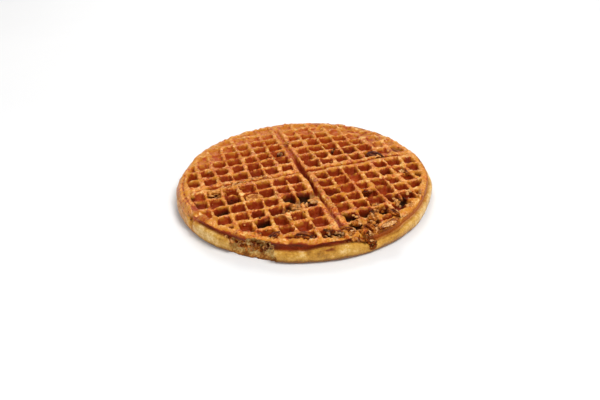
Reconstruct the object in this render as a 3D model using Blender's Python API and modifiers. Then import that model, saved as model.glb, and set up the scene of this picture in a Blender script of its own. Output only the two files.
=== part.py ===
"""Round waffle with pecans, modelled in metres with +Z up and its underside on z = 0.

Both faces carry a square grid of pockets, split into quarters by a cross of two grooves.
The divider along Y is deep and wide, and the one along X is shallow and narrow. A lip of
overflowed batter runs round the edge, and is torn away on one side. Pecan pieces lie in
sockets in the crust, and smaller chips are fused to it.
"""

import math
import random

import bmesh
import bpy
from mathutils import Matrix, Vector, noise

MM = 0.001
SEED = 23
UP = Vector((0, 0, 1))
LEAST_BEND = math.radians(0.1)

# The disc and its lip
DISC_RADIUS = 86.6 * MM
LIP_RADIUS = 90.0 * MM
THICKNESS = 14.0 * MM
LIP_HEIGHT = 8.0 * MM
RIM_STEPS = 60

# The grid on each face
PITCH = 11.24 * MM
DIVIDER_SHARE = 0.335
CELLS_A_SIDE = 7
GRID_RADIUS = 82.0 * MM
POCKET_MOUTH = 9.0 * MM
POCKET_FLOOR = 5.8 * MM
TOP_DEPTH = 5.4 * MM
UNDER_DEPTH = 4.4 * MM
DEPTH_SPREAD = 0.5 * MM
SIDE_SPREAD = 0.25 * MM
LEAST_CELL = 3.2 * MM
MOST_TURN = 3.0
OVERSHOOT = 1.0 * MM
EDGE_LEAN = 1.6 * MM
EDGE_RISE = 1.2 * MM

# The divider grooves
WIDE_GROOVE = 3.6 * MM
WIDE_GROOVE_DEPTH = 4.6 * MM
NARROW_GROOVE = 2.0 * MM
NARROW_GROOVE_DEPTH = 2.4 * MM
UNDER_GROOVE_SHARE = 0.7
GROOVE_FLOOR_SHARE, GROOVE_MOUTH_SHARE = 0.55, 1.25
GROOVE_REACH = 79.0 * MM
GROOVE_BENDS = 7

# How far baking pulled the grid out of true
SWAY = 0.9 * MM
SWAY_LENGTH = 24.0 * MM

# The torn stretch of the lip, and the tear across the top
TEAR_FROM, TEAR_TO = math.radians(-138.5), math.radians(-119.7)
TEAR_RADIUS = 84.6 * MM
TEAR_ROUGHNESS = 1.1 * MM
TEAR_STEPS = 12
LIP_TEAR_TOP = 9.8 * MM
TORN_WALL_FROM, TORN_WALL_TO = math.radians(-130.5), math.radians(-121.5)
TORN_WALL_RADIUS = 82.9 * MM
TORN_WALL_BOTTOM, TORN_WALL_TOP = 3.0 * MM, 12.6 * MM
NOTCH_ANGLE = math.radians(-162.0)
NOTCH_WIDTH = 3.8 * MM
TOP_TEAR = ((-1.0, -30.5), (-9.5, -36.5), (-17.5, -38.5), (-25.5, -44.5))
TOP_TEAR_WIDTH = 4.4 * MM
TOP_TEAR_DEPTH = 6.2 * MM
TOP_TEAR_FLOOR_SHARE = 0.45
TOP_TEAR_OVERLAP = 2.0 * MM

# On the far side of the upper face the outer pockets baked almost full of batter
FAR_SIDE = Vector((0.26, 0.97))
FAR_FROM, FAR_REACH = 0.05, 0.25
FULL_FROM, FULL_REACH = 62.0 * MM, 10.0 * MM
FULL_SHARE = 0.7

# Pecans keep this gap to the crust, narrow towards one end and have a groove along the back
SOCKET_GAP = 0.35 * MM
PECAN_TAPER = 0.16
PECAN_GROOVE, PECAN_GROOVE_WIDTH = 0.42, 0.3
PECAN_BELLY = 0.7

# Where each large pecan piece lies: x, y and middle height in millimetres, then its
# length, width and height, its heading, and the tilt along and across it in degrees
PECANS = (
    (-23.7, -76.2, 13.0, 12.5, 8.4, 5.0, -28, 4, 8),
    (-41.5, -69.3, 12.6, 12.5, 7.6, 5.2, 35, -6, -14),
    (58.0, 5.2, 13.0, 15.5, 8.6, 5.4, -52, 5, 12),
    (-65.2, -4.4, 12.6, 12.0, 7.8, 5.4, -9, 6, -10),
    (-41.3, -22.0, 12.9, 12.6, 8.8, 4.8, -28, -4, 4),
    (37.6, -70.4, 12.7, 12.0, 8.2, 5.2, -48, 7, -8),
    (28.8, -80.6, 13.0, 17.0, 8.6, 4.6, 20, -4, -14),
    (14.8, -81.8, 12.6, 11.6, 8.2, 5.6, -72, 8, 14),
    (1.2, -78.2, 12.9, 13.4, 6.4, 4.6, -18, -3, 12),
    (10.6, -73.2, 12.8, 8.6, 6.0, 4.8, 30, 8, -6),
    (14.6, -87.4, 5.8, 8.6, 7.4, 5.0, 8, 10, 74),
    (-57.4, -60.0, 6.6, 9.6, 7.0, 5.4, -46, 12, 48),
    (31.2, -39.4, 12.3, 9.6, 6.4, 5.0, -36, -8, 16),
    (66.8, -25.0, 12.5, 10.2, 6.8, 5.0, -58, 6, -12),
)

# Chips fused to the crust: x, y and height in millimetres, then length, width, height
# and heading
CHIPS = (
    (-8.4, -76.0, 12.6, 7.0, 4.6, 4.0, -40),
    (-4.2, -81.0, 12.8, 6.4, 4.0, 3.6, -20),
    (21.8, -69.6, 13.2, 6.6, 6.0, 4.4, 10),
    (15.0, 14.6, 9.6, 6.0, 4.6, 3.0, 15),
    (-20.4, 26.0, 9.4, 6.6, 4.8, 3.0, -10),
    (-8.0, 33.4, 12.9, 6.0, 3.4, 3.2, 70),
    (31.2, 24.4, 13.4, 6.0, 3.4, 3.0, 60),
    (-31.6, 4.6, 13.0, 7.6, 4.0, 3.0, -35),
    (-58.9, -15.6, 10.2, 7.0, 5.0, 3.6, 12),
    (-62.0, -26.2, 9.8, 6.6, 5.2, 3.4, -30),
    (-46.4, -46.4, 10.4, 7.2, 5.4, 3.8, -24),
    (-15.6, -42.0, 12.6, 9.0, 3.8, 3.4, -30),
    (-5.2, -39.4, 13.0, 7.6, 4.2, 3.4, -25),
    (49.6, -56.2, 12.2, 7.0, 4.4, 3.4, -70),
    (29.6, -57.6, 13.2, 6.2, 3.8, 3.0, -20),
    (62.6, -56.6, 13.2, 7.2, 4.4, 3.2, 45),
    (2.8, 48.2, 13.4, 7.6, 3.6, 3.0, -12),
    (-46.4, 0.6, 13.6, 12.5, 3.4, 2.8, -14),
    (-83.4, -25.6, 9.4, 6.0, 4.2, 4.0, -70),
    (-65.0, -56.0, 8.2, 6.6, 4.6, 4.4, -50),
    (-52.4, -66.6, 8.6, 6.2, 4.6, 4.0, -35),
    (-46.0, -71.2, 7.8, 6.4, 4.4, 4.2, -25),
)
TEAR_CRUMBS = 12
CRUMB_SIZE = 4.2 * MM
KNOB_RANGE = (0.82, 1.12)
SHARPEST_SMOOTH = math.radians(35)


def collection_named(name):
    found = bpy.data.collections.new(name)
    bpy.context.scene.collection.children.link(found)
    return found


def material(name, colour, roughness):
    made = bpy.data.materials.new(name)
    made.use_nodes = True
    shader = made.node_tree.nodes["Principled BSDF"]
    shader.inputs["Base Color"].default_value = (*colour, 1)
    shader.inputs["Roughness"].default_value = roughness
    shader.inputs["Metallic"].default_value = 0
    return made


def object_of(bm, name, collection):
    """An object from the sketch mesh, its bent faces split into flat ones."""
    bmesh.ops.connect_verts_nonplanar(bm, angle_limit=LEAST_BEND, faces=bm.faces)
    mesh = bpy.data.meshes.new(name)
    bm.to_mesh(mesh)
    bm.free()
    obj = bpy.data.objects.new(name, mesh)
    collection.objects.link(obj)
    return obj


def cutter_of(bm, name):
    """A hidden cutter, its faces turned to point outwards."""
    bmesh.ops.recalc_face_normals(bm, faces=bm.faces)
    if bm.calc_volume(signed=True) < 0:
        bmesh.ops.reverse_faces(bm, faces=bm.faces)
    obj = object_of(bm, name, cutters)
    obj.hide_render = True
    obj.display_type = "WIRE"
    return obj


def apply_modifiers(obj):
    """Bakes the object's modifiers into its own mesh."""
    graph = bpy.context.evaluated_depsgraph_get()
    old = obj.data
    obj.data = bpy.data.meshes.new_from_object(obj.evaluated_get(graph))
    obj.modifiers.clear()
    bpy.data.meshes.remove(old)


def combine(obj, others, operation):
    """Cuts, clips or joins the object by the others, which are then removed."""
    for other in others:
        boolean = obj.modifiers.new(other.name, "BOOLEAN")
        boolean.operation = operation
        boolean.object = other
    apply_modifiers(obj)
    for other in others:
        bpy.data.objects.remove(other)


def bump(angle, centre, half_width, fade):
    """1 within half_width of the centre direction, easing to 0 over the fade. All in degrees."""
    off = abs((math.degrees(angle) - centre + 180) % 360 - 180)
    share = min(max((half_width + fade - off) / fade, 0), 1)
    return share * share * (3 - 2 * share)


def lip_pull(angle):
    """How far the lip falls short of its full radius in one direction."""
    return MM * (
        7.5 * bump(angle, 97.0, 3.0, 4.5)
        + 3.0 * bump(angle, 48.0, 1.5, 3.5)
        + 2.2 * bump(angle, 13.0, 6.0, 5.0)
        + 1.2 * bump(angle, 152.0, 5.0, 6.0)
        + 1.0 * bump(angle, -40.0, 6.0, 8.0)
        + 0.8 * bump(angle, -140.5, 1.0, 3.0)
    )


def lip_top(angle):
    """The height of the lip's upper edge in one direction."""
    return LIP_HEIGHT + MM * (
        2.4 * bump(angle, 58.0, 30.0, 8.0)
        + 1.8 * bump(angle, 173.0, 20.0, 5.0)
        + 1.6 * bump(angle, 120.0, 14.0, 8.0)
        + 2.2 * bump(angle, -95.0, 5.0, 8.0)
        - 1.4 * bump(angle, -73.0, 5.0, 8.0)
        + 2.0 * bump(angle, -152.0, 9.0, 6.0)
    )


def waffle_body():
    """The turned disc with its lip, drawn in or raised where the batter ran unevenly."""
    lip_depth = LIP_RADIUS - DISC_RADIUS
    profile = (
        (DISC_RADIUS - 1.9 * MM, THICKNESS),
        (DISC_RADIUS, THICKNESS - 1.6 * MM),
        (DISC_RADIUS - 0.4 * MM, LIP_HEIGHT + 1.1 * MM),
        (DISC_RADIUS + 0.2 * lip_depth, LIP_HEIGHT),
        (LIP_RADIUS - 0.9 * MM, LIP_HEIGHT - 0.3 * MM),
        (LIP_RADIUS, LIP_HEIGHT - 2.0 * MM),
        (LIP_RADIUS, 2.4 * MM),
        (LIP_RADIUS - 3.0 * MM, 0),
    )
    bm = bmesh.new()
    points = [bm.verts.new((r, 0, z)) for r, z in profile]
    for upper, lower in zip(points, points[1:]):
        bm.edges.new((upper, lower))
    body = object_of(bm, "waffle", parts)
    screw = body.modifiers.new("turn", "SCREW")
    screw.steps = screw.render_steps = RIM_STEPS
    screw.use_merge_vertices = True
    screw.merge_threshold = 0.01 * MM
    apply_modifiers(body)

    bm = bmesh.new()
    bm.from_mesh(body.data)
    bmesh.ops.edgeloop_fill(bm, edges=[edge for edge in bm.edges if edge.is_boundary])
    bmesh.ops.recalc_face_normals(bm, faces=bm.faces)
    for vert in bm.verts:
        radius = vert.co.xy.length
        angle = math.atan2(vert.co.y, vert.co.x)
        out = min(max((radius - DISC_RADIUS) / lip_depth, -0.6), 1) * 0.6 + 0.4
        vert.co.xy *= 1 - lip_pull(angle) * max(out, 0) / radius
        if LIP_HEIGHT - 3.0 * MM < vert.co.z < LIP_HEIGHT + 1.5 * MM:
            vert.co.z += lip_top(angle) - LIP_HEIGHT
    bmesh.ops.triangulate(bm, faces=[face for face in bm.faces if len(face.verts) == 4])
    bm.to_mesh(body.data)
    bm.free()
    return body


def cell_middle(index):
    """Middle of a cell along one axis: cells count 1, 2, ... outwards from the divider."""
    return math.copysign((abs(index) - 0.5 + DIVIDER_SHARE) * PITCH, index)


def cells():
    indices = [i for i in range(-CELLS_A_SIDE, CELLS_A_SIDE + 1) if i]
    for column in indices:
        for row in indices:
            middle = Vector((cell_middle(column), cell_middle(row)))
            nearest = middle.length - POCKET_MOUTH / 2
            if nearest < GRID_RADIUS - LEAST_CELL:
                yield middle


def sway(point):
    """How far baking pulled the grid out of true at one point, so that its ridges wander."""
    return SWAY * noise.noise_vector(point.to_3d() / SWAY_LENGTH).xy


def square_loft(bm, middle, turn, rings):
    """A four-sided solid through square rings, each given as its height and its two widths."""
    place = Matrix.Translation((*middle, 0)) @ Matrix.Rotation(turn + math.pi / 4, 4, "Z")
    ring = bmesh.ops.create_circle(bm, cap_ends=True, segments=4, radius=1, matrix=place)["verts"]
    face = ring[0].link_faces[0]
    for number, (height, width) in enumerate(rings):
        if number > 0:
            made = bmesh.ops.extrude_face_region(bm, geom=[face])["geom"]
            if number > 1:
                bmesh.ops.delete(bm, geom=[face], context="FACES_ONLY")
            face = next(item for item in made if isinstance(item, bmesh.types.BMFace))
        for vert in face.verts:
            arm = (vert.co.xy - middle).normalized() * width / math.sqrt(2)
            vert.co = (*(middle + arm), height)


def filled(middle):
    """The share of an upper pocket's depth that batter filled."""
    far = (middle.dot(FAR_SIDE) / middle.length - FAR_FROM) / FAR_REACH
    out = (middle.length - FULL_FROM) / FULL_REACH
    return FULL_SHARE * min(max(far, 0), 1) * min(max(out, 0), 1)


def pocket_cutter(name, surface, inward, depth):
    """Tapered pockets of every cell on one face, clipped by the round edge of the grid."""
    draw = random.Random(SEED + round(surface / MM))
    bm = bmesh.new()
    for middle in cells():
        shift = Vector((draw.uniform(-1, 1), draw.uniform(-1, 1))) * SIDE_SPREAD + sway(middle)
        wider = draw.uniform(-1, 1) * SIDE_SPREAD
        deep = depth + draw.uniform(-1, 1) * DEPTH_SPREAD
        if inward < 0:
            deep *= 1 - filled(middle)
        floor = surface + inward * deep
        rings = (
            (floor, POCKET_FLOOR + wider),
            (surface - inward * OVERSHOOT, POCKET_MOUTH + wider),
        )
        square_loft(bm, middle + shift, math.radians(draw.uniform(-1, 1) * MOST_TURN), rings)
    pockets = cutter_of(bm, name)
    bm = bmesh.new()
    bmesh.ops.create_cone(
        bm,
        cap_ends=True,
        segments=RIM_STEPS // 2,
        radius1=GRID_RADIUS - EDGE_LEAN * (inward < 0),
        radius2=GRID_RADIUS - EDGE_LEAN * (inward > 0),
        depth=2 * depth,
        matrix=Matrix.Translation((0, 0, surface + inward * (depth - EDGE_RISE))),
    )
    combine(pockets, [cutter_of(bm, name + "_edge")], "INTERSECT")
    return pockets


def groove_cutter(name, width, depth, surface, inward, turn):
    """One divider groove across a face, narrower at its floor."""
    bm = bmesh.new()
    bmesh.ops.create_cube(bm, size=1)
    long_edges = [edge for edge in bm.edges if abs(edge.verts[0].co.x - edge.verts[1].co.x) > 0.5]
    bmesh.ops.subdivide_edges(bm, edges=long_edges, cuts=GROOVE_BENDS)
    for vert in bm.verts:
        low = (vert.co.z < 0) == (inward < 0)
        share = GROOVE_FLOOR_SHARE if low else GROOVE_MOUTH_SHARE
        height = surface + inward * (depth if low else -OVERSHOOT)
        vert.co = (2 * GROOVE_REACH * vert.co.x, width * share * vert.co.y, height)
    bmesh.ops.rotate(bm, verts=bm.verts, matrix=Matrix.Rotation(turn, 3, "Z"))
    for vert in bm.verts:
        vert.co.xy += sway(vert.co.xy)
    return cutter_of(bm, name)


def face_cutters(name, surface, inward, depth, groove_share):
    return [
        pocket_cutter(name + "_pockets", surface, inward, depth),
        groove_cutter(
            name + "_wide", WIDE_GROOVE, WIDE_GROOVE_DEPTH * groove_share, surface, inward, math.pi / 2
        ),
        groove_cutter(
            name + "_narrow", NARROW_GROOVE, NARROW_GROOVE_DEPTH * groove_share, surface, inward, 0
        ),
    ]


def ring_cutter(name, start, end, inner, bottom, top):
    """A ragged piece of ring that takes the edge away between two directions."""
    outer = LIP_RADIUS + 3 * MM
    bm = bmesh.new()
    corners = ((inner, bottom), (outer, bottom), (outer, top), (inner, top))
    face = bm.faces.new([bm.verts.new((r, 0, z)) for r, z in corners])
    bmesh.ops.rotate(bm, verts=bm.verts, matrix=Matrix.Rotation(start, 3, "Z"))
    bmesh.ops.spin(
        bm,
        geom=[face, *face.edges, *face.verts],
        cent=(0, 0, 0),
        axis=UP,
        dvec=(0, 0, 0),
        angle=end - start,
        steps=TEAR_STEPS,
    )
    for vert in bm.verts:
        if vert.co.xy.length < LIP_RADIUS:
            vert.co += TEAR_ROUGHNESS * noise.noise_vector(vert.co / (3 * MM))
    return cutter_of(bm, name)


def notch_cutter():
    """The nick where the smooth left edge ends and the front lip begins."""
    bm = bmesh.new()
    at = Vector((math.cos(NOTCH_ANGLE), math.sin(NOTCH_ANGLE), 0)) * LIP_RADIUS
    bmesh.ops.create_cone(
        bm,
        cap_ends=True,
        segments=6,
        radius1=0.4 * NOTCH_WIDTH,
        radius2=NOTCH_WIDTH,
        depth=2 * NOTCH_WIDTH,
        matrix=Matrix.Translation(at + UP * LIP_HEIGHT),
    )
    return cutter_of(bm, "notch")


def top_tear_cutters():
    """A ragged trench along the tear near the middle, one block for each stretch."""
    route = [Vector((x, y)) * MM for x, y in TOP_TEAR]
    for number, (start, end) in enumerate(zip(route, route[1:])):
        along = end - start
        length = along.length + TOP_TEAR_OVERLAP
        bm = bmesh.new()
        bmesh.ops.create_cube(bm, size=1)
        bmesh.ops.subdivide_edges(bm, edges=bm.edges, cuts=1, use_grid_fill=True)
        turn = Matrix.Rotation(math.atan2(along.y, along.x), 3, "Z")
        for vert in bm.verts:
            floor = vert.co.z < -0.25
            height = -TOP_TEAR_DEPTH if floor else 2 * OVERSHOOT * vert.co.z
            width = TOP_TEAR_WIDTH * (TOP_TEAR_FLOOR_SHARE if floor else 1)
            flat = turn @ Vector((vert.co.x * length, vert.co.y * width, 0))
            place = flat + Vector((*(start + end) / 2, THICKNESS + height))
            vert.co = place + TEAR_ROUGHNESS * noise.noise_vector(place / (4 * MM))
        yield cutter_of(bm, f"top_tear_{number}")


def pecan_shape(length, width, height, grow):
    """Half a pecan kernel, grooved along its back and flat below, grown outwards by grow."""
    bm = bmesh.new()
    lie_down = Matrix.Rotation(math.pi / 2, 4, "Y")
    bmesh.ops.create_uvsphere(bm, u_segments=8, v_segments=6, radius=1, matrix=lie_down)
    for vert in bm.verts:
        x, y, z = vert.co
        belly = 1 - PECAN_TAPER * x
        groove = PECAN_GROOVE * math.exp(-((y / PECAN_GROOVE_WIDTH) ** 2)) * (1 - x * x)
        rise = z - groove if z > 0 else PECAN_BELLY * z
        vert.co = (x * length / 2, y * belly * width / 2, rise * height / 2)
    bm.normal_update()
    for vert, normal in [(vert, vert.normal.copy()) for vert in bm.verts]:
        vert.co += normal * grow
    return bm


def place_pecan(obj, row):
    x, y, z, _, _, _, heading, along, across = row
    turns = (
        Matrix.Rotation(math.radians(heading), 4, "Z")
        @ Matrix.Rotation(math.radians(along), 4, "Y")
        @ Matrix.Rotation(math.radians(across), 4, "X")
    )
    obj.matrix_world = Matrix.Translation(Vector((x, y, z)) * MM) @ turns


def pecan(number, row):
    size = [value * MM for value in row[3:6]]
    obj = object_of(pecan_shape(*size, 0), f"pecan_{number:02d}", parts)
    obj.data.materials.append(nut_brown)
    obj.data.shade_smooth()
    place_pecan(obj, row)
    return obj


def socket(number, row):
    size = [value * MM for value in row[3:6]]
    obj = cutter_of(pecan_shape(*size, SOCKET_GAP), f"socket_{number:02d}")
    place_pecan(obj, row)
    return obj


def chip(name, place, size, heading, draw):
    """One small knobbly bit of pecan or crust."""
    bm = bmesh.new()
    bmesh.ops.create_uvsphere(bm, u_segments=6, v_segments=3, radius=0.5)
    for vert in bm.verts:
        knob = draw.uniform(*KNOB_RANGE)
        vert.co = Vector(vert.co[axis] * size[axis] * knob for axis in range(3))
    turn = Matrix.Rotation(math.radians(heading), 4, "Z")
    bmesh.ops.transform(bm, matrix=Matrix.Translation(place) @ turn, verts=bm.verts)
    return object_of(bm, name, chips)


def scatter_chips():
    draw = random.Random(SEED)
    for number, (x, y, z, length, width, height, heading) in enumerate(CHIPS):
        size = Vector((length, width, height)) * MM
        chip(f"chip_{number:02d}", Vector((x, y, z)) * MM, size, heading, draw)
    for number in range(TEAR_CRUMBS):
        share = (number + 0.5) / TEAR_CRUMBS
        angle = TEAR_FROM + (TEAR_TO - TEAR_FROM) * share
        radius = TEAR_RADIUS - draw.uniform(0.2, 1.2) * MM
        height = draw.uniform(2.4, 9.4) * MM
        place = Vector((radius * math.cos(angle), radius * math.sin(angle), height))
        size = Vector((1, draw.uniform(0.6, 0.9), draw.uniform(0.6, 0.9))) * CRUMB_SIZE
        chip(f"crumb_{number:02d}", place, size, draw.uniform(0, 180), draw)


def fuse_chips(body):
    union = body.modifiers.new("chips", "BOOLEAN")
    union.operation = "UNION"
    union.operand_type = "COLLECTION"
    union.collection = chips
    apply_modifiers(body)
    for obj in list(chips.objects):
        bpy.data.objects.remove(obj)


def waffle():
    body = waffle_body()
    combine(body, face_cutters("top", THICKNESS, -1, TOP_DEPTH, 1.0), "DIFFERENCE")
    combine(body, face_cutters("under", 0.0, 1, UNDER_DEPTH, UNDER_GROOVE_SHARE), "DIFFERENCE")
    lip_tear = ring_cutter("lip_tear", TEAR_FROM, TEAR_TO, TEAR_RADIUS, -OVERSHOOT, LIP_TEAR_TOP)
    wall_tear = ring_cutter(
        "wall_tear",
        TORN_WALL_FROM,
        TORN_WALL_TO,
        TORN_WALL_RADIUS,
        TORN_WALL_BOTTOM,
        TORN_WALL_TOP,
    )
    combine(body, [lip_tear, wall_tear, notch_cutter(), *top_tear_cutters()], "DIFFERENCE")
    scatter_chips()
    fuse_chips(body)
    combine(body, [socket(number, row) for number, row in enumerate(PECANS, 1)], "DIFFERENCE")
    body.data.materials.clear()
    body.data.materials.append(golden_crust)
    body.data.shade_smooth()
    body.data.set_sharp_from_angle(angle=SHARPEST_SMOOTH)
    return body


for old in list(bpy.data.objects):
    bpy.data.objects.remove(old)

parts = collection_named("round_waffle")
cutters = collection_named("cutters")
chips = collection_named("chips")
noise.seed_set(SEED)
golden_crust = material("golden_crust", (0.62, 0.28, 0.07), 0.55)
nut_brown = material("nut_brown", (0.24, 0.11, 0.05), 0.45)

waffle()
for index, lie in enumerate(PECANS, 1):
    pecan(index, lie)
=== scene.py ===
"""Looks of the round waffle with pecans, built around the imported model.

One closed mesh takes the place of the plain crust. Its two faces are height fields over the
lines of the grid, joined all round by rows that follow the rim and its lip. Each vertex keeps
how deep, how torn and how dark the crust is there, and how much of it is lip, and the crust's
material paints from that. The pecans, the chips and the crumbs are pieces of their own. Sizes
are in millimetres and directions in degrees.
"""

import math

import bmesh
import bpy
import numpy as np
from mathutils import Matrix, Vector, noise
from mathutils.geometry import delaunay_2d_cdt

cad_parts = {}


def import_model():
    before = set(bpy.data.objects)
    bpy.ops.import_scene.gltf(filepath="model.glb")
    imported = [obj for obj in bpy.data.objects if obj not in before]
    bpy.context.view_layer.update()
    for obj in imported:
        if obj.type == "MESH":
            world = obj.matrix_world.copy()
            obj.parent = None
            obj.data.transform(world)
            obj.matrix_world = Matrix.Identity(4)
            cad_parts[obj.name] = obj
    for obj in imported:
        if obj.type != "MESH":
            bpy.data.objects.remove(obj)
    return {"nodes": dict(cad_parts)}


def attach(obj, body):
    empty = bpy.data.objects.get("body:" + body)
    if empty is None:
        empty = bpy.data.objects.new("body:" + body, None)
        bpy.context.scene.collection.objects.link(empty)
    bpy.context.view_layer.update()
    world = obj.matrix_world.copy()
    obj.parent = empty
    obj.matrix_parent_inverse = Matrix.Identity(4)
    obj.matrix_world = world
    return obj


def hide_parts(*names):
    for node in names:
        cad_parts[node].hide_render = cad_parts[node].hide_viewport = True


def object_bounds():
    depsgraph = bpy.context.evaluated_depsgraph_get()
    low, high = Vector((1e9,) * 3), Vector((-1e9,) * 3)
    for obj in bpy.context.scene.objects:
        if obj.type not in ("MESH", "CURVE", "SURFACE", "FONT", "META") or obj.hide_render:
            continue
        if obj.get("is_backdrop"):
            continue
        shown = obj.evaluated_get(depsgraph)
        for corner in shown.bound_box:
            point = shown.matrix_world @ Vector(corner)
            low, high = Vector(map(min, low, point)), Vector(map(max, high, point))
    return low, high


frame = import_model()
CAD_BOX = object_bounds()

MM = 0.001
SEED = 23

# The disc and its lip, as in the solid
DISC_RADIUS = 86.6
LIP_RADIUS = 90.0
THICKNESS = 14.0
LIP_HEIGHT = 8.0
LIP_DEPTH = LIP_RADIUS - DISC_RADIUS

# The grid: cells count 1, 2, ... outwards from the divider
PITCH = 11.24
DIVIDER_SHARE = 0.335
CELLS_A_SIDE = 7
GRID_RADIUS = 82.0
FACE_RADIUS = 82.5
POCKET_MOUTH = 9.0
POCKET_CORNER = 1.5
WALL_RUN = 2.0
CREST_LEAD = 0.45
CROSSING_REACH = 2.2
TOP_DEPTH = 5.6
UNDER_DEPTH = 4.4

# How unlike each other the pockets are: in width, place, depth, tilt and the line of their walls
WIDTH_PLAY, PLACE_PLAY, DEPTH_PLAY, TILT_PLAY = 0.5, 0.42, 0.18, 0.07
WALL_PLAY, WALL_SWAY = 0.8, 0.45
UNDER_PLAY = 0.8

# Lines of the mesh across half a cell and half the divider, close together on the walls, and
# how far out their squares reach
CELL_LINES = (0, 1.1, 2.05, 2.7, 3.15, 3.6, 4.0, 4.4, 4.9, 5.62)
DIVIDER_LINES = (0, 0.5, 0.95, 1.35, 1.75, 2.15, 2.6, 3.15, 3.77)
UNDER_CELL_LINES = (0, 1.9, 2.8, 3.6, 4.3, 4.95, 5.62)
UNDER_DIVIDER_LINES = (0, 0.7, 1.3, 2.0, 2.8, 3.77)
SQUARES_RADIUS = FACE_RADIUS - 0.35

# The divider grooves: about how wide they are halfway down, and how deep
WIDE_GROOVE, WIDE_GROOVE_DEPTH = 3.4, 5.0
NARROW_GROOVE, NARROW_GROOVE_DEPTH = 2.0, 3.0
GROOVE_REACH, GROOVE_FADE = 79.0, 6.0
GROOVE_MOUTH, GROOVE_PLAY, GROOVE_WANDER = 0.62, 0.16, 0.35
UNDER_GROOVE_SHARE = 0.7

# Where along the upper wide groove it opens to its width, swells, gapes and gets its full depth
GROOVE_OPENS = (-14.0, -5.0)
GROOVE_SWELLS, GROOVE_SWELL_REACH = -29.0, 6.0
GROOVE_GAPES = (-36.0, -42.0)
GROOVE_DEEPENS = ((30.0, 14.0), (-44.0, -34.0))

# How far baking pulled the grid out of true, as in the solid
SWAY = 0.9
SWAY_LENGTH = 24.0
SWAY_FADE = 7.0

# On the far side of the upper face the outer pockets baked almost full, as in the solid
FAR_SIDE = (0.26, 0.97)
FULL_TOWARDS = (0.05, 0.3)
FULL_FROM_TO = (62.0, 72.0)
FULL_SHARE = 0.7

# Relief of the upper face: swells, bumps, grain and more of it at the border, grain of the
# floors, dips, pits, raised crossings, and the rib that runs beside the wide groove
SWELLS, BUMPS, GRAIN, BORDER_GRAIN, FLOOR_GRAIN = 0.32, 0.4, 0.36, 0.3, 0.4
DIPS, PITS, CROSSINGS, RIB = 1.1, 0.8, 0.35, 0.55
RIB_X, RIB_REACH = 3.4, 1.6
RIB_ENDS = ((-60.0, -48.0), (6.0, -6.0))

# The border of the upper face, which browned unevenly on the near side
BORDER_FROM_TO = (75.0, 80.0)
BORDER_NEAR = (20.0, -10.0)
BORDER_BROWN, BORDER_PLAY = 0.14, 0.4

# The torn stretch of the lip, and the tear across the top
TEAR_FROM, TEAR_TO = -138.5, -119.7
TEAR_RADIUS = 84.6
TORN_WALL_FROM, TORN_WALL_TO = -130.5, -121.5
TORN_WALL_RADIUS = 82.9
TEAR_FADE = 0.9
NOTCH_ANGLE, NOTCH_DEPTH, NOTCH_REACH = -162.0, 3.4, 4.2
SLIT_ANGLE, SLIT_HEIGHT, SLIT_LENGTH = -98.0, 9.3, 13.0
SLIT_SLOPE, SLIT_WIDTH, SLIT_DEPTH = 0.06, 1.3, 1.4
TOP_TEAR = ((-1.0, -30.5), (-9.5, -36.5), (-17.5, -38.5), (-25.5, -44.5))
TOP_TEAR_WIDTH = 4.4
TOP_TEAR_DEPTH = 6.4
TOP_TEAR_RAGS = 0.9

# Directions of the rim's columns: from, to and step, closest together along the torn stretch
RIM_STRETCHES = ((-180, -141, 0.52), (-141, -117, 0.25), (-117, -18, 0.52), (-18, 180, 0.9))
RIM_STEPS = 2

# How far the lip falls short of its full radius. Here and below, a place of the rim is its
# direction, half width and fade
LIP_PULLS = (
    (7.5, 97, 3, 4.5),
    (3, 48, 1.5, 3.5),
    (2.2, 13, 6, 5),
    (1.2, 152, 5, 6),
    (1, -40, 6, 8),
    (0.8, -140.5, 1, 3),
)

# How far the lip's upper edge rises, or sinks where negative
LIP_RISES = (
    (2.4, 58, 30, 8),
    (1.8, 173, 20, 5),
    (1.6, 120, 14, 8),
    (2.2, -95, 5, 8),
    (-1.4, -73, 5, 8),
    (2, -152, 9, 6),
)

# How far the rim of the upper face sinks
SLUMPS = ((1, -92, 8, 10), (2.6, -68, 8, 14))

# Where the edge runs smoothly down into the lip, is streaked and has a line round it, and where
# the rim's upright wall is paler: at the left, and where it faces the key lamp as painted light
SMOOTH_EDGE = (-179, 18, 7)
STREAKED_EDGE = (-179, 22, 8)
LINED_EDGE = (-179, 16, 6)
LINE_RADIUS = 84.4
PALE_WALL = (-20.0, 40.0, 30.0)
PALE_LEFT = (-158.0, 10.0, 8.0)
PALE_FRONT = (-62.0, 16.0, 12.0)

# Cells deeper and darker than most, or shallower and paler where negative: column, row, extra
# depth and darkness. The darkness inside a pocket is partly browning, partly painted shade
DARK_CELLS = (
    (-1, -3, 2.6, 1),
    (-2, -3, 2.2, 0.8),
    (-1, -4, 1, 0.3),
    (-3, -4, 0.8, 0.3),
    (-5, -2, 1.2, 0.5),
    (-6, -3, 1.6, 0.7),
    (-4, -4, 1.2, 0.3),
    (-4, -5, 2.2, 1),
    (-1, -7, 1, 0.5),
    (1, -6, 1.8, 0.7),
    (2, -6, 1, 0.5),
    (1, -3, 0.6, 0.3),
    (5, -5, 0.4, 0.2),
    (5, -2, 0.8, 0.4),
    (4, -5, 1, 0.5),
    (3, -6, 1.4, 0.7),
    (7, 1, 0.6, 0.3),
    (4, 2, 0.8, 0.4),
    (-7, -1, -2.6, -0.25),
    (-7, -2, -0.6, 0.1),
    (-7, -3, -1.6, -0.2),
    (2, -2, -0.8, -0.2),
    (3, -2, -1, -0.25),
    (2, -3, -0.8, -0.2),
    (3, -3, -1.2, -0.25),
)
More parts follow.
